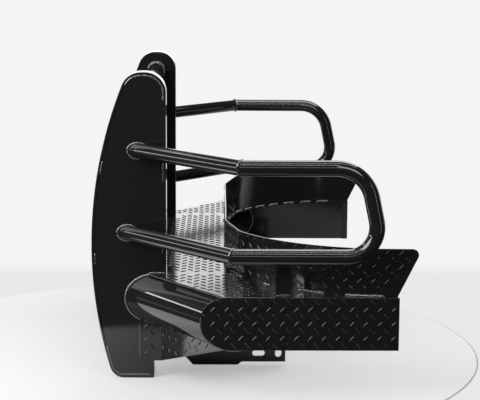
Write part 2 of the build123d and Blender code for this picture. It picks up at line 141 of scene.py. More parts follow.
def orange_peel_group():
    """Height = fine noise x Peel + slow noise x Waviness. Roughness = Floor + slow noise x Haze."""
    group, given, result = new_group(
        "orange peel",
        [("Grain", 320.0), ("Peel", 1.0), ("Waviness", 1.0), ("Floor", 0.08), ("Haze", 0.06)],
        ["Height", "Roughness"],
    )
    place = add_node(group, "ShaderNodeTexCoord")
    fine = add_node(group, "ShaderNodeTexNoise", values={"Detail": 2.0, "Roughness": 0.45})
    slow = add_node(group, "ShaderNodeTexNoise", values={"Scale": 14.0, "Detail": 3.0})
    peel = add_node(group, "ShaderNodeMath", operation="MULTIPLY")
    wave = add_node(group, "ShaderNodeMath", operation="MULTIPLY")
    height = add_node(group, "ShaderNodeMath", operation="ADD")
    rough = add_node(group, "ShaderNodeMath", operation="MULTIPLY_ADD")
    link = group.links.new
    link(place.outputs["Object"], fine.inputs["Vector"])
    link(place.outputs["Object"], slow.inputs["Vector"])
    link(given.outputs["Grain"], fine.inputs["Scale"])
    link(fine.outputs["Fac"], peel.inputs[0])
    link(given.outputs["Peel"], peel.inputs[1])
    link(slow.outputs["Fac"], wave.inputs[0])
    link(given.outputs["Waviness"], wave.inputs[1])
    link(peel.outputs[0], height.inputs[0])
    link(wave.outputs[0], height.inputs[1])
    link(slow.outputs["Fac"], rough.inputs[0])
    link(given.outputs["Haze"], rough.inputs[1])
    link(given.outputs["Floor"], rough.inputs[2])
    link(height.outputs[0], result.inputs["Height"])
    link(rough.outputs[0], result.inputs["Roughness"])
    return group


def dust_group():
    """Mask = how far the face looks up x patchy noise x Amount."""
    group, given, result = new_group("settled dust", [("Amount", 0.3), ("Patch", 30.0)], ["Mask"])
    place = add_node(group, "ShaderNodeTexCoord")
    apart = add_node(group, "ShaderNodeSeparateXYZ")
    upward = add_node(group, "ShaderNodeMapRange", values={"From Min": 0.2, "From Max": 1.0})
    patch = add_node(group, "ShaderNodeTexNoise", values={"Detail": 5.0, "Roughness": 0.6})
    spots = add_node(group, "ShaderNodeMapRange", values={"From Min": 0.42, "From Max": 0.75})
    both = add_node(group, "ShaderNodeMath", operation="MULTIPLY")
    much = add_node(group, "ShaderNodeMath", operation="MULTIPLY", use_clamp=True)
    link = group.links.new
    link(place.outputs["Normal"], apart.inputs[0])
    link(apart.outputs["Z"], upward.inputs["Value"])
    link(place.outputs["Object"], patch.inputs["Vector"])
    link(given.outputs["Patch"], patch.inputs["Scale"])
    link(patch.outputs["Fac"], spots.inputs["Value"])
    link(upward.outputs[0], both.inputs[0])
    link(spots.outputs[0], both.inputs[1])
    link(both.outputs[0], much.inputs[0])
    link(given.outputs["Amount"], much.inputs[1])
    link(much.outputs[0], result.inputs["Mask"])
    return group


ORANGE_PEEL = orange_peel_group()
SETTLED_DUST = dust_group()
print("node groups", [g.name for g in bpy.data.node_groups])

# %% [markdown]
# One maker sprayed the whole bumper in one booth, so the five finishes are the same black coat on five
# surfaces. Round tube takes the smoothest skin, flat sheet shows a little more peel, tread plate
# hides dust between its lugs, thick flat bar keeps its mill scale texture and looks satin, and the coat
# gathers on the ripples of a weld bead. Their numbers differ and their nodes are shared.


# %% Coated finishes
COOL = 1.04  # blue over red and green in the black
DUST_COLOUR = (0.085, 0.083, 0.08, 1.0)
DUST_DULLS = 0.25  # roughness added under full dust
RELIEF = 0.00003  # metres of coat for one unit of Height


def new_material(name):
    """A material that uses nodes, with its tree and its Principled shader."""
    material = bpy.data.materials.new(name)
    material.use_nodes = True
    return material, material.node_tree, material.node_tree.nodes["Principled BSDF"]


def coated_black(name, black, peel, grain, floor, haze, dust, ior=1.5):
    """A black coat. The dust mask leads Base Color from black to dust and adds roughness, and the
    orange peel gives the rest of the roughness and the relief."""
    material, tree, shader = new_material(name)
    shader.inputs["Metallic"].default_value = 0.0
    shader.inputs["IOR"].default_value = ior
    skin = add_node(tree, "ShaderNodeGroup", node_tree=ORANGE_PEEL)
    for label, value in (("Grain", grain), ("Peel", peel), ("Waviness", 1.0), ("Floor", floor),
                         ("Haze", haze)):
        skin.inputs[label].default_value = value
    dusty = add_node(tree, "ShaderNodeGroup", node_tree=SETTLED_DUST)
    dusty.inputs["Amount"].default_value = dust
    colour = add_node(tree, "ShaderNodeMixRGB")
    colour.inputs["Color1"].default_value = (black, black, black * COOL, 1.0)
    colour.inputs["Color2"].default_value = DUST_COLOUR
    rough = add_node(tree, "ShaderNodeMath", operation="MULTIPLY_ADD", use_clamp=True)
    rough.inputs[1].default_value = DUST_DULLS
    relief = add_node(tree, "ShaderNodeBump", values={"Strength": 1.0, "Distance": RELIEF})
    link = tree.links.new
    link(dusty.outputs["Mask"], colour.inputs["Fac"])
    link(colour.outputs["Color"], shader.inputs["Base Color"])
    link(dusty.outputs["Mask"], rough.inputs[0])
    link(skin.outputs["Roughness"], rough.inputs[2])
    link(rough.outputs[0], shader.inputs["Roughness"])
    link(skin.outputs["Height"], relief.inputs["Height"])
    link(relief.outputs["Normal"], shader.inputs["Normal"])
    return material


FINISH = {  # black, peel, grain, roughness floor, haze, dust, and a higher IOR for the bead
    "panel_coat": coated_black("panel coat", 0.0065, 0.8, 260.0, 0.05, 0.05, 0.10),
    "tube_coat": coated_black("tube coat", 0.0070, 0.04, 220.0, 0.035, 0.04, 0.06),
    "tread_plate": coated_black("tread plate coat", 0.0055, 1.2, 330.0, 0.07, 0.08, 0.22),
    "flat_bar_coat": coated_black("flat bar coat", 0.0065, 2.4, 420.0, 0.20, 0.10, 0.12),
    "weld_coat": coated_black("weld coat", 0.0080, 3.0, 700.0, 0.20, 0.12, 0.08, 2.0),
}
slot_of = {part["node"]: part["material_slot"] for part in frame["record"]["subparts"]}
for node_name, node in nodes.items():
    node.data.materials.clear()
    node.data.materials.append(FINISH[slot_of[node_name]])
print("finishes", sorted(FINISH), "on", len(slot_of), "nodes")

# %% [markdown]
# Sheared plate has a burr that the welder grinds off, and the coat pulls thin over it, so every real
# edge is a narrow round that catches a line of light. The CAD edges are sharp. A Weld modifier joins
# the loose triangles of a plate and a Bevel rounds only its sharp edges, so the plate keeps its
# size. Last, the large faces lead the shading, which keeps a flat face flat in its reflections. The
# long curved riser sides stay sharp, because rounding would spoil their smooth shading.

# %% Soft edges on the plates
EDGE_ROUND = {  # width of the round in metres
    "upright_edge_band": 0.0015, "wing_side_plate": 0.0012, "riser_centre": 0.0009,
    "deck_wing": 0.0009, "valance_centre": 0.0009, "valance_side": 0.0009,
    "frame_bracket": 0.0012, "loop_post": 0.0012, "wing_edge_bar": 0.001,
}
SAME_POINT = 0.00002  # triangle corners closer than this are one point
SHARP = np.radians(35.0)
EDGE_STEPS = 2
LARGEST_LEADS = 100  # the modifier's highest weight


def soften_edges(node, width):
    """Weld the triangles, round each edge that turns more than SHARP, and let large faces lead."""
    weld = node.modifiers.new("join triangles", "WELD")
    weld.merge_threshold = SAME_POINT
    bevel = node.modifiers.new("soft edge", "BEVEL")
    bevel.width = width
    bevel.segments = EDGE_STEPS
    bevel.limit_method = "ANGLE"
    bevel.angle_limit = SHARP
    bevel.use_clamp_overlap = False
    even = node.modifiers.new("large faces lead", "WEIGHTED_NORMAL")
    even.weight = LARGEST_LEADS


softened = 0
for node_name, node in nodes.items():
    stem = node_name.removesuffix("_left").removesuffix("_right")
    if stem in EDGE_ROUND:
        soften_edges(node, EDGE_ROUND[stem])
        softened += 1
print("plates with soft edges", softened)

# %% [markdown]
# Tread plate is rolled with raised lugs in two slants, each lug a slim lens 28 mm long. They could be
# a bump map, but a low light from the side shows their height and outline, so they are real shapes.
# One lens is worked out in lug sizes, and whole arrays of lugs are laid on a sheet at once: first in
# the sheet's own flat measure (along, up), then bent with it by the sheet's own point and normal.

# %% One lug and a field of them
LUG_LONG, LUG_WIDE, LUG_HIGH = 0.028, 0.0070, 0.0021
LUG_PITCH, LUG_ROW = 0.0448, 0.0476
LUG_SLANT = np.pi / 4
LUG_ROUND = 12  # corners of a lug's outline
LUG_FULLNESS = 0.75  # under 1 makes the lens fuller than an ellipse
SHOULDER_LONG, SHOULDER_WIDE, SHOULDER_HIGH = 0.80, 0.40, 0.84  # shares of the lug where flanks end
LUG_SUNK = 0.0002  # its outline lies this far inside the sheet
LATTICE_REACH = 90  # lugs each way from the start, more than any sheet needs
SIDES = ((1, "left"), (-1, "right"))  # the sign of X on each side


def lens_lug():
    """Points (along, across, up) of a lens with outline cos t, |sin t|^LUG_FULLNESS: a middle point, a
    ring where the flanks end, a ring at the outline just below the sheet, a middle point below."""
    around = np.linspace(0, 2 * np.pi, LUG_ROUND, endpoint=False)
    full = np.sign(np.sin(around)) * np.abs(np.sin(around)) ** LUG_FULLNESS
    ring = np.column_stack([np.cos(around) * LUG_LONG / 2, full * LUG_WIDE / 2, 0 * around])
    inner = ring * [SHOULDER_LONG, SHOULDER_WIDE, 0] + [0, 0, LUG_HIGH * SHOULDER_HIGH]
    outer = ring + [0, 0, -LUG_SUNK]
    points = np.vstack([[0, 0, LUG_HIGH], inner, outer, [0, 0, -2 * LUG_SUNK]])
    i = np.arange(LUG_ROUND)
    j = (i + 1) % LUG_ROUND
    top = np.column_stack([0 * i, 1 + i, 1 + j])
    flank = np.column_stack([1 + i, 1 + LUG_ROUND + i, 1 + LUG_ROUND + j, 1 + j])
    base = np.column_stack([0 * i + 1 + 2 * LUG_ROUND, 1 + LUG_ROUND + j, 1 + LUG_ROUND + i])
    return points, top, flank, base


def lug_places(low, high, start, keep):
    """Centres (along, up) and slants of the lugs on a sheet from low to high: a lattice of rising lugs
    from start, and one of falling lugs half a pitch off both ways. keep(along, up) drops the rest."""
    steps = np.arange(-LATTICE_REACH, LATTICE_REACH + 1)
    a, u = (g.ravel() for g in np.meshgrid(steps * LUG_PITCH, steps * LUG_ROW))
    centres = np.vstack([np.column_stack([a + start[0], u + start[1]]),
                         np.column_stack([a + start[0] + LUG_PITCH / 2, u + start[1] + LUG_ROW / 2])])
    slants = np.repeat([LUG_SLANT, -LUG_SLANT], a.size)
    inside = np.all((centres > low) & (centres < high), axis=1) & keep(centres[:, 0], centres[:, 1])
    return centres[inside], slants[inside]


def lug_field(name, sheet, low, high, start, keep=lambda along, up: along == along):
    """All the lugs of one sheet in one mesh. sheet(along, up) gives points and normals of its face."""
    lens, top, flank, base = lens_lug()
    centres, slants = lug_places(np.array(low), np.array(high), start, keep)
    c, s = np.cos(slants)[:, None], np.sin(slants)[:, None]
    along = centres[:, :1] + c * lens[:, 0] - s * lens[:, 1]
    up = centres[:, 1:] + s * lens[:, 0] + c * lens[:, 1]
    face, normal = sheet(along.ravel(), up.ravel())
    points = face + normal * np.tile(lens[:, 2], len(centres))[:, None]
    shift = (np.arange(len(centres)) * len(lens))[:, None, None]
    faces = []
    for part in (top, flank, base):
        faces += (part[None] + shift).reshape(-1, part.shape[1]).tolist()
    make_piece(name, points, faces, FINISH["tread_plate"])
    print(name, "lugs", len(centres), "faces", len(faces))


# %% [markdown]
# The two wing sides are flat sheets, so their face is one plane. The left side's lugs rise towards the
# rear, and the right side is its mirror image, as two blanks cut from one sheet and turned over.


# %% Lugs on the wing side plates
def outline_of(node, face_x, mid):
    """Corner points (Y, Z) of a flat node's face at face_x, in turning order about mid."""
    co = np.array([v.co[:] for v in nodes[node].data.vertices])
    on_face = np.unique(co[np.abs(co[:, 0] - face_x) < 1e-5][:, 1:].round(5), axis=0)
    turning = np.arctan2(on_face[:, 1] - mid[1], on_face[:, 0] - mid[0])
    return on_face[np.argsort(turning)]


def inside_outline(outline, margin):
    """A test for points at least margin inside a convex outline that turns left."""
    start, end = outline, np.roll(outline, -1, axis=0)
    run = end - start
    length = np.hypot(*run.T)
    start, run, length = start[length > 1e-6], run[length > 1e-6], length[length > 1e-6]
    inward = np.column_stack([-run[:, 1], run[:, 0]]) / length[:, None]

    def test(along, up):
        offset = np.stack([along, up], -1)[..., None, :] - start
        return ((offset * inward).sum(-1) > margin).all(-1)

    return test


plate_low, plate_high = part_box("wing_side_plate_left")
SIDE_MIDDLE = (0.2, 0.28)  # a point (Y, Z) well inside the plate
SIDE_RIM = 0.011  # bare rim round the plate, to a lug's middle
SIDE_LUG_START = (0.0137, 0.2861)
plate_edge = outline_of("wing_side_plate_left", plate_high.x, SIDE_MIDDLE)
for side, name in SIDES:

    def side_face(along, up, side=side):
        """The outer face of a wing side plate: a plane at its outermost X."""
        flat = np.column_stack([np.full(along.shape, side * plate_high.x), along, up])
        return flat, np.tile([float(side), 0.0, 0.0], (along.size, 1))

    lug_field(f"side_plate_lugs_{name}", side_face, (-1, 0), (1, 1), SIDE_LUG_START,
              inside_outline(plate_edge, SIDE_RIM))

# %% [markdown]
# The riser is one long sheet bent in plan: straight across the truck, a crease, a flat stretch, a
# second crease, and a long curve that ends almost straight back inside the wing. Its lugs need the
# distance along that line, so the plan is drawn first as fine points with its running length.

# %% Plan of the riser
RISER_STRAIGHT, RISER_CREASE, RISER_FACET = 0.420, 0.050, 0.195
TURN_FACET, TURN_CREASE, TURN_ALL = np.radians([12.0, 26.0, 88.0])
RISER_INSET = 0.015  # end of the long curve, inside the wing side plate
RISER_TAIL = 0.6  # straight run after the long curve
PLAN_POINTS = 4000
PLATE = 0.0048
riser_low, riser_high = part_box("riser_side_left")
centre_low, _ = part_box("riser_centre")
RISER_FRONT = centre_low.y


def riser_plan():
    """Points X, Y along the riser's front face: its heading grows in the two creases and the long curve
    and stays on the flat stretches between, and the line is the sum of its small steps."""
    curve_x = RISER_STRAIGHT + RISER_CREASE * np.sin(TURN_CREASE) + RISER_FACET * np.cos(TURN_FACET)
    radius = (plate_low.x - RISER_INSET - curve_x) / (np.sin(TURN_ALL) - np.sin(TURN_CREASE))
    lengths = [RISER_STRAIGHT, RISER_CREASE * TURN_FACET, RISER_FACET,
               RISER_CREASE * (TURN_CREASE - TURN_FACET), radius * (TURN_ALL - TURN_CREASE), RISER_TAIL]
    stations = np.concatenate([[0.0], np.cumsum(lengths)])
    headings = [0.0, 0.0, TURN_FACET, TURN_FACET, TURN_CREASE, TURN_ALL, TURN_ALL]
    run = np.linspace(0, stations[-1], PLAN_POINTS)
    middle = (run[1:] + run[:-1]) / 2
    heading = np.interp(middle, stations, headings)
    step = np.diff(run)
    x = np.concatenate([[0.0], np.cumsum(np.cos(heading) * step)])
    y = RISER_FRONT + np.concatenate([[0.0], np.cumsum(np.sin(heading) * step)])
    return run, x, y, np.interp(run, stations, headings)


def outward_of(heading):
    """Unit normals to the right of a plan heading: forward, away from the truck's middle."""
    return np.column_stack([np.sin(heading), -np.cos(heading), 0 * heading])


plan_run, plan_x, plan_y, plan_heading = riser_plan()
print("riser reaches X", np.interp(riser_high.y, plan_y, plan_x).round(4),
      "CAD", round(riser_high.x, 4))

# %% [markdown]
# The riser shows its lugs outwards and its plain back to the truck. Its rear end is cut to a slant
# with a rounded tip, so lugs stop where the cut comes near.

# %% Lugs on the riser
RISER_SLANT = np.tan(np.radians(26.0))
RISER_RIM = 0.009  # bare strip along the riser's foot and top
SLANT_RIM = 0.014
CREASE_OVERLAP, CREASE_RIM = 0.002, 0.010  # side lugs start before the crease, the rest stop short
RISER_LUG_START = (0.2, riser_low.z + 0.0484)
riser_base_rear = riser_high.y - (riser_high.z - riser_low.z) * RISER_SLANT


def riser_face(side):
    """A sheet function for the riser: a point at its running length and height, and the normal."""

    def face(along, up):
        x, y = np.interp(along, plan_run, plan_x), np.interp(along, plan_run, plan_y)
        normal = outward_of(np.interp(along, plan_run, plan_heading))
        return np.column_stack([side * x, y, up]), normal * [side, 1, 1]

    return face


def before_slant(along, up):
    """True where the riser's rear cut is at least SLANT_RIM away."""
    cut = riser_base_rear + (up - riser_low.z) * RISER_SLANT
    return np.interp(along, plan_run, plan_y) < cut - SLANT_RIM


lugs_foot, lugs_top = riser_low.z + RISER_RIM, riser_high.z - RISER_RIM
side_start, centre_reach = RISER_STRAIGHT - CREASE_OVERLAP, RISER_STRAIGHT - CREASE_RIM
for side, name in SIDES:
    lug_field(f"riser_lugs_{name}", riser_face(side), (side_start, lugs_foot),
              (plan_run[-1], lugs_top), RISER_LUG_START, before_slant)
lug_field("riser_lugs_centre", riser_face(1), (-centre_reach, lugs_foot), (centre_reach, lugs_top),
          RISER_LUG_START)

# %% [markdown]
# The deck is the step between grille and riser. It lies flat, so its lugs are measured across and along
# the truck. It ends at the pipe in front, at the riser behind and at the uprights.

# %% Lugs on the deck
deck_low, deck_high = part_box("deck_wing_left")
middle_low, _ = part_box("deck_centre")
upright_low, upright_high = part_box("upright_edge_band_left")
SWEEP_ANGLE = np.radians(36.0)  # of the wing's front behind straight across
SWEEP = np.tan(SWEEP_ANGLE)
DECK_RIM, DECK_FRONT_RIM, DECK_OUTER_RIM = 0.012, 0.016, 0.022  # bare strips along the deck's edges
DECK_NECK = 0.072  # the deck's front part between the uprights, front to back
DECK_LUG_Y = -0.2


def deck_face(side):
    """A sheet function for the deck: across is X and along is Y, at the deck's top."""

    def face(across, along):
        flat = np.column_stack([side * across, along, np.full(along.shape, deck_high.z)])
        return flat, np.tile([0.0, 0.0, 1.0], (along.size, 1))

    return face


def on_wing_deck(across, along):
    """True behind the slanting front edge and in front of the riser."""
    front = deck_low.y + (across - upright_high.x) * SWEEP + DECK_FRONT_RIM
    return (along > front) & (along < np.interp(across, plan_x, plan_y) - DECK_RIM)


def on_middle_deck(across, along):
    """True between the uprights, and across the whole width behind them."""
    return (np.abs(across) < upright_low.x - DECK_RIM) | (along > middle_low.y + DECK_NECK)


for side, name in SIDES:
    lug_field(f"deck_lugs_{name}", deck_face(side), (upright_high.x + DECK_RIM, -1),
              (plate_low.x - DECK_OUTER_RIM, 1), (0.6, DECK_LUG_Y), on_wing_deck)
lug_field("deck_lugs_centre", deck_face(1), (-upright_high.x + DECK_RIM, middle_low.y + DECK_RIM),
          (upright_high.x - DECK_RIM, centre_low.y - DECK_RIM), (0.0, DECK_LUG_Y), on_middle_deck)

# %% [markdown]
# The valance hangs below the pipe: a short panel welded to each upright, then a swept panel out to the
# wing whose lower edge climbs. Its plan is two straight runs, measured along as one length.

# %% Lugs on the valance
valance_low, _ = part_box("valance_side_left")
apron_low, apron_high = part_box("valance_centre")
valance_x = upright_high.x + PLATE
VALANCE_BEND_Y, VALANCE_END_Y = -0.3015, -0.0805
VALANCE_INSET = 0.007  # its outer end, inside the wing side plate's face
BEND_RIM, LOWER_RIM = 0.012, 0.011
FRONT_RIM, OUTER_RIM = 0.010, 0.014
APRON_RIM, APRON_TOP_RIM = 0.012, 0.006
PIPE_COVERS = 0.92  # share of the pipe's radius below which the swept panel can be seen
VALANCE_LUG_Z = 0.09
valance_plan = np.array([[valance_x, valance_low.y], [valance_x, VALANCE_BEND_Y],
                         [plate_high.x - VALANCE_INSET, VALANCE_END_Y]])
valance_leg = np.hypot(*np.diff(valance_plan, axis=0).T)
valance_run = np.concatenate([[0.0], np.cumsum(valance_leg)])
PIPE_RADIUS = 0.08415
pipe_low, pipe_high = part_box("centre_pipe")
PIPE_Y, PIPE_Z = (pipe_low.y + pipe_high.y) / 2, (pipe_low.z + pipe_high.z) / 2


def valance_face(side):
    """A sheet function for the valance: a point at its running length and height, facing outwards."""
    heading = np.arctan2(*(valance_plan[2] - valance_plan[1])[::-1])

    def face(along, up):
        x = np.interp(along, valance_run, valance_plan[:, 0])
        y = np.interp(along, valance_run, valance_plan[:, 1])
        normal = outward_of(np.where(along > valance_run[1], heading, np.pi / 2))
        return np.column_stack([side * x, y, up]), normal * [side, 1, 1]

    return face


def on_valance(along, up):
    """True clear of the bend, above the climbing lower edge and below the pipe."""
    climb = (plate_low.z - valance_low.z) * (along - valance_run[1]) / valance_leg[1]
    lower = valance_low.z + np.maximum(climb, 0) + LOWER_RIM
    below_pipe = up < PIPE_Z - PIPE_RADIUS * PIPE_COVERS
    return (np.abs(along - valance_run[1]) > BEND_RIM) & (up > lower) & below_pipe


for side, name in SIDES:
    lug_field(f"valance_lugs_{name}", valance_face(side), (FRONT_RIM, 0),
              (valance_run[2] - OUTER_RIM, 1), (0.02, VALANCE_LUG_Z), on_valance)


def apron_face(along, up):
    """The front of the middle valance, a plane that faces forward."""
    return (np.column_stack([along, np.full(along.shape, apron_low.y), up]),
            np.tile([0.0, -1.0, 0.0], (along.size, 1)))


lug_field("valance_lugs_centre", apron_face, (apron_low.x + APRON_RIM, apron_low.z + APRON_RIM),
          (apron_high.x - APRON_RIM, PIPE_Z - PIPE_RADIUS - APRON_TOP_RIM), (0.0, VALANCE_LUG_Z))

# %% [markdown]
# Every joint is welded, and a bead is the clearest sign of it. A bead is laid in small puddles that
# freeze one over the other, which leaves even ripples, and its ends are round. It is carried along
# the joint as a flattened ring that swells with every ripple. Long seams are stitched, so that the
# heat doesn't pull the plate, and tube ends are welded all round.

# %% The weld bead
BEAD_STEP, RIPPLE = 0.0016, 0.0055
BEAD_CORNERS = 8
WIDE_SHARES = 0.86, 0.14, 0.07  # of the width: even, with the ripple, with the sway
HIGH_SHARES = 0.70, 0.30, 0.08  # of the height, the same
SWAY_FAST, SWAY_SLOW = 173.0, 61.0  # radians in a metre
TAPER_RUN, TAPER_START = 0.6, 0.06  # an open end narrows over this share of the width, from this
UNDERSIDE = 0.4  # depth of the underside, as a share of the height


def along_path(path, step, closed=False):
    """The path's rows again at an even step, by the running length of their first three numbers."""
    path = np.asarray(path, float)
    if closed:
        path = np.vstack([path, path[:1]])
    run = np.concatenate([[0.0], np.cumsum(np.linalg.norm(np.diff(path[:, :3], axis=0), axis=1))])
    count = max(6, int(round(run[-1] / step)))
    stations = np.linspace(0, run[-1], count, endpoint=not closed)
    return np.column_stack([np.interp(stations, run, column) for column in path.T])


def lay_bead(path, up, width, height, closed=False, shift=0.0):
    """A bead on a path: ring angle t gives path + across * width/2 * cos t + up * height * sin t, both
    swollen by ripple |sin(pi s / RIPPLE)| and a slow sway, and tapered at open ends."""
    path = np.asarray(path, float)
    even = along_path(np.column_stack([path, np.broadcast_to(up, path.shape)]), BEAD_STEP, closed)
    points, up = even[:, :3], even[:, 3:]
    up = up / np.linalg.norm(up, axis=1)[:, None]
    ahead = np.roll(points, -1, 0) - np.roll(points, 1, 0) if closed else np.gradient(points, axis=0)
    across = np.cross(up, ahead)
    across /= np.linalg.norm(across, axis=1)[:, None]
    s = np.arange(len(points)) * BEAD_STEP + shift
    ripple = np.abs(np.sin(np.pi * s / RIPPLE))
    sway = np.sin(s * SWAY_FAST) * np.sin(s * SWAY_SLOW + shift)
    wide = width / 2 * (WIDE_SHARES[0] + WIDE_SHARES[1] * ripple + WIDE_SHARES[2] * sway)
    high = height * (HIGH_SHARES[0] + HIGH_SHARES[1] * ripple + HIGH_SHARES[2] * sway)
    if not closed:
        near_end = np.minimum(np.arange(len(points)), np.arange(len(points))[::-1]) * BEAD_STEP
        taper = np.sqrt(np.clip(near_end / (width * TAPER_RUN) + TAPER_START, 0, 1))
        wide, high = wide * taper, high * taper
    t = np.linspace(0, 2 * np.pi, BEAD_CORNERS, endpoint=False)
    lift = np.where(np.sin(t) > 0, np.sin(t), UNDERSIDE * np.sin(t))
    ring = (points[:, None] + across[:, None] * (wide[:, None] * np.cos(t))[..., None]
            + up[:, None] * (high[:, None] * lift)[..., None])
    faces = grid_quads(len(points), BEAD_CORNERS, closed_rows=closed, closed_columns=True).tolist()
    if not closed:
        faces.append(list(range(BEAD_CORNERS))[::-1])
        faces.append([(len(points) - 1) * BEAD_CORNERS + k for k in range(BEAD_CORNERS)])
    return ring.reshape(-1, 3), faces


def mirrored(bead):
    """The same bead on the other side of the centre plane, its faces turned back outwards."""
    return bead[0] * [-1.0, 1.0, 1.0], [face[::-1] for face in bead[1]]


def weld(name, beads, slot):
    """Several beads in one piece, in the weld coat."""
    points, faces, first = [], [], 0
    for bead_points, bead_faces in beads:
        points.append(bead_points)
        faces += [[first + k for k in face] for face in bead_faces]
        first += len(bead_points)
    make_piece(name, np.vstack(points), faces, FINISH["weld_coat"])
    print(name, "beads", len(beads), "faces", len(faces))


def weld_pair(name, beads, slot):
    """A weld on the left side and its mirror image on the right."""
    weld(f"{name}_left", beads, slot)
    weld(f"{name}_right", [mirrored(bead) for bead in beads], slot)


# %% [markdown]
# Where a tube meets a plate at a slant its end is an ellipse, and a mitre is one too. Both come from
# one formula: a ring round the tube's axis, each point slid along the axis until it lies in the plane.


# %% Welds round the tubes
RING_CLEAR = 0.0012  # a ring bead's line, outside the tube's skin
PIPE_CLEAR = 0.002


def tube_cut(centre, axis, radius, plane_normal, count=180):
    """The ring where a tube through centre along axis meets the plane through centre, and its outward
    directions. With e1 and e2 across the axis, p(t) = centre + r (cos t e1 + sin t e2) + k axis, where
    k makes (p - centre) . normal = 0."""
    axis = np.array(axis, float) / np.linalg.norm(axis)
    normal = np.array(plane_normal, float) / np.linalg.norm(plane_normal)
    e2 = np.array([0.0, 0.0, 1.0])
    e1 = np.cross(axis, e2)
    t = np.linspace(0, 2 * np.pi, count, endpoint=False)
    ring = radius * (np.cos(t)[:, None] * e1 + np.sin(t)[:, None] * e2)
    slide = -(ring @ normal) / (axis @ normal)
    outward = ring / radius
    return np.array(centre) + ring + slide[:, None] * axis, outward


def ring_weld(centre, axis, radius, plane_normal, width=0.0095, height=0.005, lean=0.6, shift=0.0):
    """A closed bead in the corner between a tube and a plane, leaning out from both."""
    path, outward = tube_cut(centre, axis, radius + RING_CLEAR, plane_normal)
    normal = np.array(plane_normal, float) / np.linalg.norm(plane_normal)
    return lay_bead(path, outward + lean * normal, width, height, closed=True, shift=shift)


TUBE_RADIUS = 0.0254
_, skin_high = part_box("upright_outer_skin_left")
loop_low, loop_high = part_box("headlight_loop_left")
upright_front = upright_low.y
loop_x = (loop_low.x + loop_high.x) / 2
STAYS = (  # height of a stay, and how far its foot and its mitre lie behind the upright's front
    (loop_high.z - TUBE_RADIUS, 0.160, 0.507),
    (loop_low.z + TUBE_RADIUS, 0.124, 0.482),
)
tube_welds = []
for stay_z, foot_back, corner_back in STAYS:
    foot = np.array([skin_high.x, upright_front + foot_back, stay_z])
    corner = np.array([loop_x, upright_front + corner_back, stay_z])
    stay = (foot - corner) / np.linalg.norm(foot - corner)
    tube_welds.append(ring_weld(foot, -stay, TUBE_RADIUS, (1, 0, 0)))
    mitre = stay - np.array([0.0, 1.0, 0.0])
    ring, ring_faces = ring_weld(corner, (0, 1, 0), TUBE_RADIUS - RING_CLEAR, mitre,
                                 height=0.0034, lean=0.0)
    ring[:, 0] = np.minimum(ring[:, 0], loop_high.x)  # ground flush on the outermost side
    tube_welds.append((ring, ring_faces))
weld_pair("loop_welds", tube_welds, "tube_coat")

PIPE_AXIS = np.array([np.cos(SWEEP_ANGLE), np.sin(SWEEP_ANGLE), 0.0])
pipe_foot = np.array([upright_high.x, PIPE_Y, PIPE_Z])
pipe_ring, pipe_out = tube_cut(pipe_foot, PIPE_AXIS, PIPE_RADIUS + PIPE_CLEAR, (1, 0, 0), 240)
rearmost = np.argmax(pipe_ring[:, 1])
pipe_ring, pipe_out = np.roll(pipe_ring, -rearmost, 0), np.roll(pipe_out, -rearmost, 0)
on_upright = pipe_ring[:, 1] < upright_high.y - 0.004  # the rest would hang past the upright's rear
pipe_end = np.array([plate_low.x, PIPE_Y + (plate_low.x - upright_high.x) * SWEEP, PIPE_Z])
pipe_welds = [
    lay_bead(pipe_ring[on_upright], pipe_out[on_upright] + [0.9, 0, 0], 0.011, 0.0055),
    ring_weld(pipe_end, -PIPE_AXIS, PIPE_RADIUS, (-1, 0, 0), 0.009, 0.004),
]
weld_pair("pipe_welds", pipe_welds, "tube_coat")

inner_low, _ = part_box("upright_inner_skin_left")
bar_welds = []
for tube in ["top_cross_tube"] + [f"grille_bar_{k}" for k in range(1, 6)]:
    low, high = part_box(tube)
    middle = [inner_low.x, (low.y + high.y) / 2, (low.z + high.z) / 2]
    radius = (high.z - low.z) / 2
    wide, proud = (0.013, 0.006) if tube == "top_cross_tube" else (0.007, 0.0035)
    bar_welds.append(ring_weld(middle, (-1, 0, 0), radius, (-1, 0, 0), wide, proud, shift=middle[2]))
weld_pair("grille_welds", bar_welds, "tube_coat")

# %% [markdown]
# The skins of the uprights lie inside the edge band, and a bead fills that corner: long over the top
# and round the foot, short stitches between. The riser is stitched to the deck outside and inside.
# Each seam is a stretch of a known line: the skin's outline, the riser's plan, the deck's edge.


# %% Seams on the plates
SEAM_STEP = 0.004
SEAM_LIFT = 0.001  # a bead's line, above the plate it lies on
SKIN_INSET, SKIN_LIFT = 0.002, 0.0002  # a bead's line, inside the skin's outline and off its face


def stretch(line, start, end):
    """The points of a line from the one nearest to start up to the one nearest to end, going forward
    and round past its last point if need be."""
    first, last = (np.argmin(np.hypot(*(line - spot).T)) for spot in (start, end))
    count = (last - first) % len(line) + 1
    return line[(first + np.arange(count)) % len(line)]


def fine_ring(corners):
    """A closed outline with points every SEAM_STEP."""
    flat = np.column_stack([corners, np.zeros(len(corners))])
    return along_path(flat, SEAM_STEP, closed=True)[:, :2]


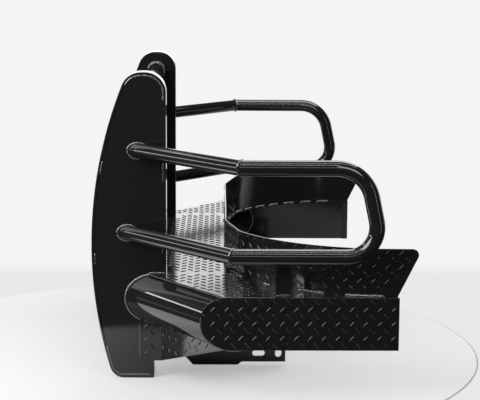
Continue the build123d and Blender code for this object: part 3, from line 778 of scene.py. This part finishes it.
upright_middle = np.array([upright_front + 0.13, 0.5])  # a point (Y, Z) well inside the skin
skin_edge = fine_ring(outline_of("upright_outer_skin_left", skin_high.x, upright_middle))
top_z, rear_y = upright_high.z, upright_high.y
skin_rear_y = rear_y - 0.012
SEAMS = [  # start and end (Y, Z) of each stretch, turning left seen from outside
    ((skin_rear_y, top_z - 0.100), (upright_front + 0.115, top_z - 0.045)),
    ((skin_rear_y, 0.690), (skin_rear_y, 0.756)),
    ((skin_rear_y, 0.440), (skin_rear_y, 0.500)),
    ((upright_front + 0.036, 0.765), (upright_front + 0.030, 0.715)),
    ((upright_front + 0.012, 0.440), (upright_front + 0.012, 0.400)),
    ((upright_front + 0.036, 0.110), (upright_front + 0.205, 0.012)),
]
seam_beads = []
for seam_start, seam_end in SEAMS:
    seam = stretch(skin_edge, seam_start, seam_end)
    inward = upright_middle - seam
    seam = seam + SKIN_INSET * inward / np.linalg.norm(inward, axis=1)[:, None]
    path = np.column_stack([np.full(len(seam), skin_high.x + SKIN_LIFT), seam])
    seam_beads.append(lay_bead(path, (1, 0, 0), 0.0075, 0.0028, shift=seam[0, 1]))
weld_pair("upright_seams", seam_beads, "panel_coat")

seam_z = deck_high.z + SEAM_LIFT
# outside stitches from and to these Y
RISER_SEAMS = ((-0.0785, -0.062), (-0.050, -0.020), (0.047, 0.073), (0.153, 0.247), (0.305, 0.437))
BACK_SEAMS_START, BACK_SEAMS_END_Y = 0.46, 0.445  # a running length, and a Y
STITCH, STITCH_PITCH = 0.060, 0.083


def riser_seam(run_from, run_to, out):
    """A bead at the foot of the riser, out metres in front of its front face (behind if negative)."""
    run = np.arange(run_from, run_to, SEAM_STEP)
    x, y = np.interp(run, plan_run, plan_x), np.interp(run, plan_run, plan_y)
    normal = outward_of(np.interp(run, plan_run, plan_heading))
    path = np.column_stack([x, y, np.full(len(run), seam_z)]) + normal * out
    return lay_bead(path, np.sign(out) * normal + [0, 0, 1.0], 0.0130, 0.0075, shift=run_from)


def run_at(y):
    """The riser's running length where its plan reaches y."""
    return float(np.interp(y, plan_y, plan_run))


riser_beads = [riser_seam(run_at(y_from), run_at(y_to), 0.001) for y_from, y_to in RISER_SEAMS]
riser_end = run_at(BACK_SEAMS_END_Y)
for start in np.arange(BACK_SEAMS_START, riser_end - STITCH, STITCH_PITCH):
    riser_beads.append(riser_seam(start, min(start + STITCH, riser_end), -PLATE - 0.003))
weld_pair("riser_seams", riser_beads, "tread_plate")

front_x = np.linspace(upright_high.x + 0.006, plate_low.x - 0.012, 40)
front_y = deck_low.y + (front_x - upright_high.x) * SWEEP
front_seam = np.column_stack([front_x, front_y, np.full(front_x.size, deck_low.z + SEAM_LIFT)])
apron_seam = [(upright_high.x + 0.0008, valance_low.y, z)
              for z in (valance_low.z + 0.008, PIPE_Z - 0.095)]
deck_side = [(upright_high.x + SEAM_LIFT, y, seam_z) for y in (deck_low.y + 0.006, rear_y - 0.004)]
plate_beads = [
    lay_bead(front_seam, (-np.sin(SWEEP_ANGLE), -np.cos(SWEEP_ANGLE), 0.4), 0.006, 0.003),
    lay_bead(apron_seam, (0.6, -1.0, 0), 0.008, 0.004),
    lay_bead(deck_side, (1.0, 0, 1.0), 0.008, 0.004),
]
weld_pair("deck_seams", plate_beads, "tread_plate")

post_low, post_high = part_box("loop_post_left")
POST_INSET = 0.030  # outer face of the post's straight part, inside the wing side plate's outer face
post_foot = [(plate_high.x - POST_INSET + SEAM_LIFT, y, seam_z)
             for y in (post_low.y + 0.002, post_high.y - 0.002)]
weld_pair("post_welds", [lay_bead(post_foot, (1.0, 0, 1.0), 0.008, 0.0045)], "flat_bar_coat")

# %% [markdown]
# The bumper stands on a round white turntable in a pale studio. The table is a flat disc that takes
# its soft shadow, and a narrow ring of painted shade round it stands for the shaded gap to the floor.
# The wide floor is plain and pale to the eye, but the coat is a mirror, and what the mirror sees in
# front is the dark half of the studio.

# %% Turntable and floor
TABLE_CENTRE, TABLE_RADIUS = (0.198, -0.266), 1.122
FLOOR_RADIUS = 40.0
TABLE_Z, GAP_Z, FLOOR_Z = -0.001, -0.003, -0.006
TABLE_GAP = 0.006
WALL_TONE, FLOOR_TONE = 0.905, 0.81
MIRROR_PAINT, EYE_PAINT, EYE_GLOW = 0.7, 0.36, 0.53  # shares of a table's tone


def plain_disc(name, centre, radius, height, corners=96):
    """A flat round face at that height."""
    around = np.linspace(0, 2 * np.pi, corners, endpoint=False)
    points = np.column_stack([centre[0] + radius * np.cos(around), centre[1] + radius * np.sin(around),
                              np.full(corners, height)])
    mesh = bpy.data.meshes.new(name)
    mesh.from_pydata(points.tolist(), [], [tuple(range(corners))])
    disc = bpy.data.objects.new(name, mesh)
    bpy.context.scene.collection.objects.link(disc)
    return disc


def table_paint(name, tone, painted_side_glow=0.0):
    """Matt paint of one tone. The eye sees most of it as a plain even tone that glows, which keeps the
    shadow soft. Reflections see it lit, plus a painted glow that stands in for more light on the
    table, brighter on the side towards -Y."""
    material, tree, shader = new_material(name)
    shader.inputs["Roughness"].default_value = 0.7
    shader.inputs["Specular IOR Level"].default_value = 0.2
    place = add_node(tree, "ShaderNodeTexCoord")
    apart = add_node(tree, "ShaderNodeSeparateXYZ")
    beside = add_node(tree, "ShaderNodeMapRange",
                      values={"From Min": -0.40, "From Max": -0.75, "To Max": painted_side_glow})
    ray = add_node(tree, "ShaderNodeLightPath")
    paint = add_node(tree, "ShaderNodeMix", values={"A": tone * MIRROR_PAINT, "B": tone * EYE_PAINT})
    plain = add_node(tree, "ShaderNodeMix", values={"B": tone * EYE_GLOW})
    glow = add_node(tree, "ShaderNodeEmission")
    both = add_node(tree, "ShaderNodeAddShader")
    link = tree.links.new
    link(place.outputs["Object"], apart.inputs[0])
    link(apart.outputs["Y"], beside.inputs["Value"])
    link(ray.outputs["Is Camera Ray"], paint.inputs["Factor"])
    link(paint.outputs["Result"], shader.inputs["Base Color"])
    link(ray.outputs["Is Camera Ray"], plain.inputs["Factor"])
    link(beside.outputs[0], plain.inputs["A"])
    link(plain.outputs["Result"], glow.inputs["Strength"])
    link(shader.outputs[0], both.inputs[0])
    link(glow.outputs[0], both.inputs[1])
    link(both.outputs[0], tree.nodes["Material Output"].inputs["Surface"])
    return material


def floor_paint():
    """The eye sees the pale floor fade into the wall tone behind. Reflections see pale behind (-X) and
    dark in front."""
    material, tree, shader = new_material("pale studio floor")
    tree.nodes.remove(shader)
    place = add_node(tree, "ShaderNodeTexCoord")
    apart = add_node(tree, "ShaderNodeSeparateXYZ")
    behind = add_node(tree, "ShaderNodeMapRange",
                      values={"From Min": -1.2, "From Max": -2.0, "To Min": 0.06, "To Max": 0.85})
    ray = add_node(tree, "ShaderNodeLightPath")
    edge = add_node(tree, "ShaderNodeMapRange", values={"From Min": -1.36, "From Max": -1.12,
                                                        "To Min": WALL_TONE, "To Max": FLOOR_TONE})
    tone = add_node(tree, "ShaderNodeMix")
    glow = add_node(tree, "ShaderNodeEmission")
    link = tree.links.new
    link(place.outputs["Object"], apart.inputs[0])
    link(apart.outputs["X"], behind.inputs["Value"])
    link(apart.outputs["X"], edge.inputs["Value"])
    link(edge.outputs[0], tone.inputs["B"])
    link(ray.outputs["Is Camera Ray"], tone.inputs["Factor"])
    link(behind.outputs[0], tone.inputs["A"])
    link(tone.outputs["Result"], glow.inputs["Strength"])
    link(glow.outputs[0], tree.nodes["Material Output"].inputs["Surface"])
    return material


table = plain_disc("turntable", TABLE_CENTRE, TABLE_RADIUS, TABLE_Z)
# Painted light: the table glows brighter towards -Y for every ray except the eye's.
table.data.materials.append(table_paint("white turntable", 0.76, 0.85))
# Painted shade: a darker disc just outside the table stands for the shaded gap to the floor.
gap = plain_disc("turntable_gap_shade", TABLE_CENTRE, TABLE_RADIUS + TABLE_GAP, GAP_Z)
gap.data.materials.append(table_paint("turntable gap painted shade", 0.42))
floor = plain_disc("studio_floor", (0.0, 0.0), FLOOR_RADIUS, FLOOR_Z)
floor.data.materials.append(floor_paint())
print("turntable radius", TABLE_RADIUS, "floor radius", FLOOR_RADIUS)

# %% [markdown]
# Gloss black is drawn by what it mirrors. A bright backdrop behind fills the deck and the tops of the
# tubes, and a wide softbox hangs over the far side. Three long strips, two on the near side and one
# overhead, draw thin lines along every tube, and a short one behind the loops adds one more. Softboxes
# to the left and the right and two panels in front put glints on the lugs, the pipe and the edges.
# The rest of the studio stays dark, which keeps the upright faces deep black.

# %% World and lamps
BACKDROP, DARK = 2.0, 0.05
LAMPS = (  # name, place, aim, size (along Y, across) in metres, tone
    ("far_softbox", (-1.15, 0.75, 3.1), (-0.2, 0.6, 0.2), (2.7, 1.7), 6.0),
    ("near_strip_high", (2.7, -1.1, 3.2), (0.9, -1.1, 0.5), (3.8, 0.14), 20.0),
    ("near_strip_low", (3.9, -1.1, 1.75), (0.9, -1.1, 0.6), (3.8, 0.12), 9.0),
    ("left_softbox", (3.0, -2.9, 2.6), (0.9, 0.1, 0.3), (2.9, 2.4), 11.0),
    ("front_panel", (0.3, -2.0, 0.95), (0.3, 0.0, 0.5), (0.12, 2.2), 9.0),
    ("front_panel_high", (0.5, -1.6, 2.2), (0.7, -0.2, 0.3), (0.4, 2.6), 3.5),
    ("right_softbox", (3.3, 1.2, 2.15), (0.9, 0.2, 0.4), (1.3, 1.0), 6.0),
    ("overhead_strip", (1.2, 0.1, 3.4), (1.0, 0.1, 0.4), (4.0, 0.12), 18.0),
    ("rear_strip", (2.35, 2.12, 0.75), (1.0, 0.39, 0.6), (0.12, 1.5), 8.0),
)


def studio_world():
    """Sky tone = BACKDROP where the direction looks to -X and less than 16 degrees up, fading to DARK
    at 31 degrees up and towards the sides. The eye sees one pale tone all round."""
    world = bpy.data.worlds.new("studio")
    world.use_nodes = True
    tree = world.node_tree
    place = add_node(tree, "ShaderNodeTexCoord")
    apart = add_node(tree, "ShaderNodeSeparateXYZ")
    behind = add_node(tree, "ShaderNodeMapRange", values={"From Min": -0.35, "From Max": -0.6})
    low = add_node(tree, "ShaderNodeMapRange", values={"From Min": 0.52, "From Max": 0.28})
    both = add_node(tree, "ShaderNodeMath", operation="MULTIPLY")
    tone = add_node(tree, "ShaderNodeMapRange", values={"To Min": DARK, "To Max": BACKDROP})
    ray = add_node(tree, "ShaderNodeLightPath")
    seen = add_node(tree, "ShaderNodeMix")
    seen.inputs["B"].default_value = WALL_TONE
    tree.nodes["Background"].inputs["Color"].default_value = (1.0, 1.0, 1.0, 1.0)
    link = tree.links.new
    link(place.outputs["Generated"], apart.inputs[0])
    link(apart.outputs["X"], behind.inputs["Value"])
    link(apart.outputs["Z"], low.inputs["Value"])
    link(behind.outputs[0], both.inputs[0])
    link(low.outputs[0], both.inputs[1])
    link(both.outputs[0], tone.inputs["Value"])
    link(ray.outputs["Is Camera Ray"], seen.inputs["Factor"])
    link(tone.outputs[0], seen.inputs["A"])
    link(seen.outputs["Result"], tree.nodes["Background"].inputs["Strength"])
    return world


def hang_lamp(name, place, aim, size, tone):
    """A rectangular softbox at place, facing aim, size (along Y, across) in metres. Its power is
    tone x pi x area, which makes its face shine at that tone."""
    lamp = bpy.data.lights.new(name, "AREA")
    lamp.shape = "RECTANGLE"
    lamp.size, lamp.size_y = size[1], size[0]
    lamp.energy = tone * np.pi * size[0] * size[1]
    lit = bpy.data.objects.new(name, lamp)
    bpy.context.scene.collection.objects.link(lit)
    back = np.array(place, float) - np.array(aim, float)
    back /= np.linalg.norm(back)
    across = np.cross([0.0, 1.0, 0.0], back)
    across /= np.linalg.norm(across)
    along = np.cross(back, across)
    turned = Matrix(np.column_stack([across, along, back]).tolist()).to_4x4()
    lit.matrix_world = Matrix.Translation([float(v) for v in place]) @ turned
    print(name, "at", place, "power", round(lamp.energy, 1))


bpy.context.scene.world = studio_world()
for lamp in LAMPS:
    hang_lamp(*lamp)
bpy.context.scene.view_settings.view_transform = "Standard"
